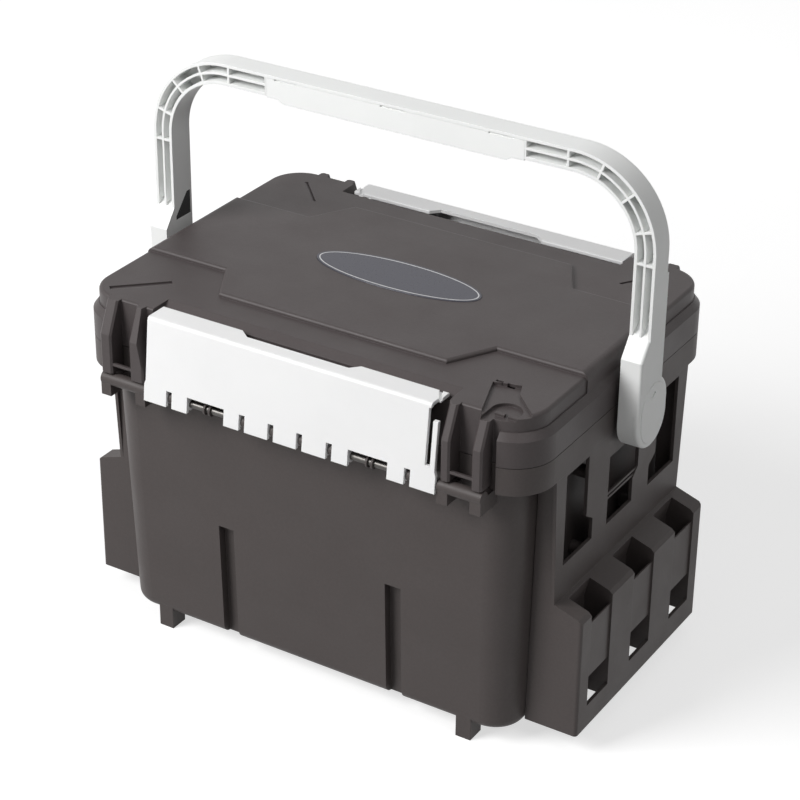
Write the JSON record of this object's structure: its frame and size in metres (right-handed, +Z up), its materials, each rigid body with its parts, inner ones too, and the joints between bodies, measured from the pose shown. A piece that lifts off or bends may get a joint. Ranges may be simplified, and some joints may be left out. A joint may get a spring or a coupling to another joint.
{
  "type": "fishing seat box",
  "caption": "Fishing seat box: lipped lid with raised seat panel, leaning white latches in front and behind, side pockets, folding carrying handle and a sliding tray inside.",
  "frame": {"origin": "on the floor under the middle of the box, handle upright and lid closed", "axes": "+Z up, +X to the right along the handle bar, the front with the seen latch is at -Y"},
  "size_m": [0.475, 0.335, 0.4754],
  "materials": {
    "body_plastic": "fine-grained moulded polypropylene",
    "lid_plastic": "fine-grained moulded polypropylene",
    "latch_plastic": "smooth white moulding",
    "handle_plastic": "pale grey moulding",
    "grip_plastic": "pale grey moulding",
    "cap_plastic": "pale grey moulding",
    "insert_plastic": "dark moulding",
    "pin_plastic": "smooth acetal",
    "badge_plastic": "plain plate",
    "tray_plastic": "grey moulding",
    "seal_rubber": "soft rubber",
    "axle_steel": "blackened steel rod",
    "screw_steel": "plated steel"
  },
  "bodies": {
    "tub": {"tub": "body_plastic", "side_frame_right": "body_plastic", "side_frame_left": "body_plastic", "frame_screws_right": "screw_steel", "frame_screws_left": "screw_steel", "rear_axle": "axle_steel"},
    "lid": {"lid": "lid_plastic", "lid_seal": "seal_rubber", "badge_plate": "badge_plastic"},
    "rear_latch": {"rear_latch": "latch_plastic"},
    "front_axle": {"front_axle": "axle_steel"},
    "front_latch": {"front_latch": "latch_plastic"},
    "handle_pivots": {"pivot_pin_right": "pin_plastic", "pivot_pin_left": "pin_plastic"},
    "handle": {"handle_bow": "handle_plastic", "grip_cover": "grip_plastic", "pivot_cap_right": "cap_plastic", "pivot_cap_left": "cap_plastic", "arm_insert_right": "insert_plastic", "arm_insert_left": "insert_plastic"},
    "tray": {"tray": "tray_plastic", "tray_dividers": "tray_plastic"}
  },
  "joints": [
    {"name": "lid_hinge", "type": "hinge", "parent": "tub", "child": "lid", "pos_m": [0, 0.1605, 0.2485], "axis": [-1, 0, 0], "range_deg": [0, 42]},
    {"name": "rear_latch_hinge", "type": "hinge", "parent": "lid", "child": "rear_latch", "pos_m": [0, 0.1605, 0.2485], "axis": [1, 0, 0], "range_deg": [-165, 0]},
    {"name": "front_axle_turn", "type": "hinge", "parent": "tub", "child": "front_axle", "pos_m": [0, -0.1605, 0.2485], "axis": [1, 0, 0], "range_deg": [0, 147]},
    {"name": "front_latch_hinge", "type": "hinge", "parent": "front_axle", "child": "front_latch", "pos_m": [0, -0.1605, 0.2485], "axis": [-1, 0, 0], "range_deg": [-165, 0]},
    {"name": "handle_pivot_turn", "type": "hinge", "parent": "tub", "child": "handle_pivots", "pos_m": [0, 0, 0.2595], "axis": [-1, 0, 0], "range_deg": [0, 42]},
    {"name": "handle_hinge", "type": "hinge", "parent": "handle_pivots", "child": "handle", "pos_m": [0, 0, 0.2595], "axis": [1, 0, 0], "range_deg": [-125, 125]},
    {"name": "tray_slide", "type": "slide", "parent": "tub", "child": "tray", "axis": [1, 0, 0], "range_m": [0, 0.1948]}
  ],
  "couplings": [
    {"joint": "front_axle_turn", "follows": "lid_hinge", "ratio": 3.5},
    {"joint": "handle_pivot_turn", "follows": "lid_hinge", "ratio": 1}
  ]
}
